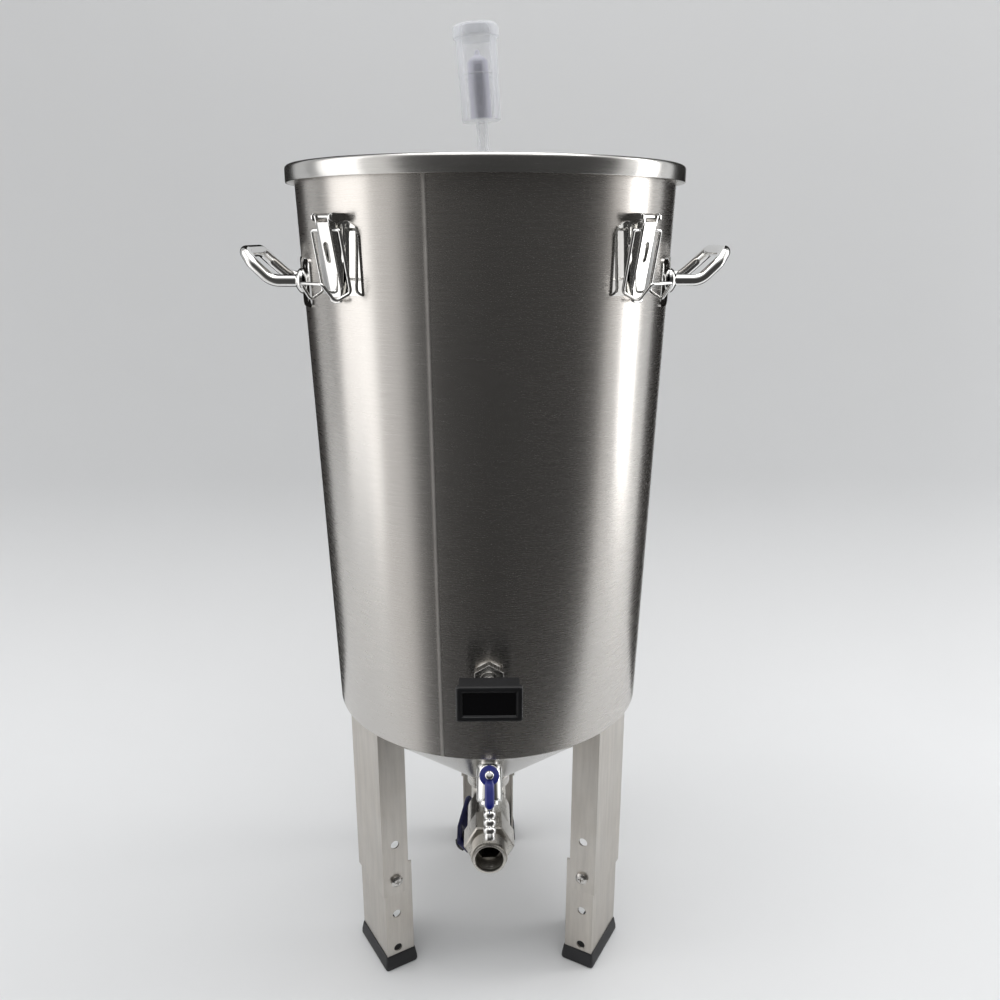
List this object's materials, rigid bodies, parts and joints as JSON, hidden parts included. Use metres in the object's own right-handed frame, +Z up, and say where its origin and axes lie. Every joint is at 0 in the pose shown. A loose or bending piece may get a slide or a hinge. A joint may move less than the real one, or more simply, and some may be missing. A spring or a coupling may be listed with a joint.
{
  "type": "conical fermenter",
  "caption": "Tapered steel fermenting vessel with a conical bottom, clamped lid with airlock, dump and racking valves, thermometer and telescoping legs.",
  "frame": {"origin": "floor level, on the vessel's vertical axis", "axes": "+Z up, -Y towards the front, where the valves and the thermometer are, +X to the viewer's right"},
  "size_m": [0.3944, 0.341, 0.8186],
  "materials": {
    "brushed_wall": "brushed round the vessel, satin",
    "satin_steel": "satin sheet steel",
    "mirror_steel": "mirror polished",
    "leg_steel": "mill finish, slightly warm",
    "cast_steel": "machined and tumbled",
    "blue_vinyl": "dipped vinyl, satin",
    "dark_nut": "dark, satin",
    "rubber_black": "moulded, matt",
    "silicone": "translucent, matt",
    "clear_plastic": "clear",
    "ptfe": "white",
    "case_black": "fine matt texture",
    "screen_black": "glossy"
  },
  "bodies": {
    "vessel": {"vessel_wall": "brushed_wall", "bottom_cone": "satin_steel", "dump_port": "cast_steel", "racking_port": "satin_steel", "racking_tube": "satin_steel", "handle_left": "mirror_steel", "handle_right": "mirror_steel", "handle_plates": "mirror_steel", "latch_bases": "mirror_steel", "latch_pins": "mirror_steel", "leg_upper_left": "leg_steel", "leg_upper_right": "leg_steel", "leg_upper_back": "leg_steel", "leg_lower_left": "leg_steel", "leg_lower_right": "leg_steel", "leg_lower_back": "leg_steel", "foot_left": "rubber_black", "foot_right": "rubber_black", "foot_back": "rubber_black", "leg_screws": "leg_steel", "leg_nuts": "leg_steel", "dump_elbow": "cast_steel", "dump_valve_body": "cast_steel", "dump_outlet": "cast_steel", "dump_seats": "ptfe", "dump_packing_nut": "dark_nut", "racking_valve_body": "mirror_steel", "racking_hose_tail": "mirror_steel", "racking_seats": "ptfe", "racking_packing_nut": "mirror_steel", "thermowell": "satin_steel", "thermowell_nut": "satin_steel", "thermowell_seal": "silicone", "thermowell_collar": "mirror_steel"},
    "lid": {"lid": "satin_steel", "lid_gasket": "silicone", "lid_grommet": "rubber_black"},
    "airlock": {"airlock_cup": "clear_plastic"},
    "airlock_float": {"airlock_float": "clear_plastic"},
    "airlock_cap": {"airlock_cap": "clear_plastic"},
    "dump_handle": {"dump_lever": "cast_steel", "dump_lever_sleeve": "blue_vinyl", "dump_lever_nut": "dark_nut", "dump_stem": "cast_steel", "dump_ball": "cast_steel"},
    "racking_handle": {"racking_lever": "blue_vinyl", "racking_lever_nut": "mirror_steel", "racking_stem": "cast_steel", "racking_ball": "cast_steel"},
    "thermometer": {"thermometer_case": "case_black", "thermometer_bezel": "case_black", "thermometer_faceplate": "screen_black"},
    "lever_fl": {"latch_lever_fl": "mirror_steel"},
    "bail_fl": {"latch_bail_fl": "mirror_steel"},
    "lever_fr": {"latch_lever_fr": "mirror_steel"},
    "bail_fr": {"latch_bail_fr": "mirror_steel"},
    "lever_bl": {"latch_lever_bl": "mirror_steel"},
    "bail_bl": {"latch_bail_bl": "mirror_steel"},
    "lever_br": {"latch_lever_br": "mirror_steel"},
    "bail_br": {"latch_bail_br": "mirror_steel"}
  },
  "joints": [
    {"name": "lid_lift", "type": "slide", "parent": "vessel", "child": "lid", "axis": [0, 0, 1], "range_m": [0, 0.15]},
    {"name": "airlock_pull", "type": "slide", "parent": "lid", "child": "airlock", "axis": [-0.0698, 0, 0.9976], "range_m": [0, 0.04]},
    {"name": "float_rise", "type": "slide", "parent": "airlock", "child": "airlock_float", "axis": [-0.0698, 0, 0.9976], "range_m": [0, 0.005]},
    {"name": "cap_lift", "type": "slide", "parent": "airlock", "child": "airlock_cap", "axis": [-0.0698, 0, 0.9976], "range_m": [0, 0.03]},
    {"name": "lever_fl_swing", "type": "hinge", "parent": "vessel", "child": "lever_fl", "pos_m": [-0.11349, -0.11349, 0.674], "axis": [-0.7071, 0.7071, 0], "range_deg": [0, 90]},
    {"name": "bail_fl_swing", "type": "hinge", "parent": "lever_fl", "child": "bail_fl", "pos_m": [-0.1131, -0.1131, 0.66496], "axis": [-0.7071, 0.7071, 0], "range_deg": [0, 80]},
    {"name": "lever_fr_swing", "type": "hinge", "parent": "vessel", "child": "lever_fr", "pos_m": [0.11349, -0.11349, 0.674], "axis": [-0.7071, -0.7071, 0], "range_deg": [0, 90]},
    {"name": "bail_fr_swing", "type": "hinge", "parent": "lever_fr", "child": "bail_fr", "pos_m": [0.1131, -0.1131, 0.66496], "axis": [-0.7071, -0.7071, 0], "range_deg": [0, 80]},
    {"name": "lever_bl_swing", "type": "hinge", "parent": "vessel", "child": "lever_bl", "pos_m": [-0.11349, 0.11349, 0.674], "axis": [0.7071, 0.7071, 0], "range_deg": [0, 90]},
    {"name": "bail_bl_swing", "type": "hinge", "parent": "lever_bl", "child": "bail_bl", "pos_m": [-0.1131, 0.1131, 0.66496], "axis": [0.7071, 0.7071, 0], "range_deg": [0, 80]},
    {"name": "lever_br_swing", "type": "hinge", "parent": "vessel", "child": "lever_br", "pos_m": [0.11349, 0.11349, 0.674], "axis": [0.7071, -0.7071, 0], "range_deg": [0, 90]},
    {"name": "bail_br_swing", "type": "hinge", "parent": "lever_br", "child": "bail_br", "pos_m": [0.1131, 0.1131, 0.66496], "axis": [0.7071, -0.7071, 0], "range_deg": [0, 80]},
    {"name": "dump_valve_turn", "type": "hinge", "parent": "vessel", "child": "dump_handle", "pos_m": [0, -0.046, 0.13], "axis": [0.7547, 0, 0.6561], "range_deg": [0, 90]},
    {"name": "racking_valve_turn", "type": "hinge", "parent": "vessel", "child": "racking_handle", "pos_m": [0, -0.13205, 0.23558], "axis": [0, 0.765, -0.6441], "range_deg": [0, 90]},
    {"name": "thermometer_pull", "type": "slide", "parent": "vessel", "child": "thermometer", "axis": [0, -1, 0], "range_m": [0, 0.1]}
  ]
}
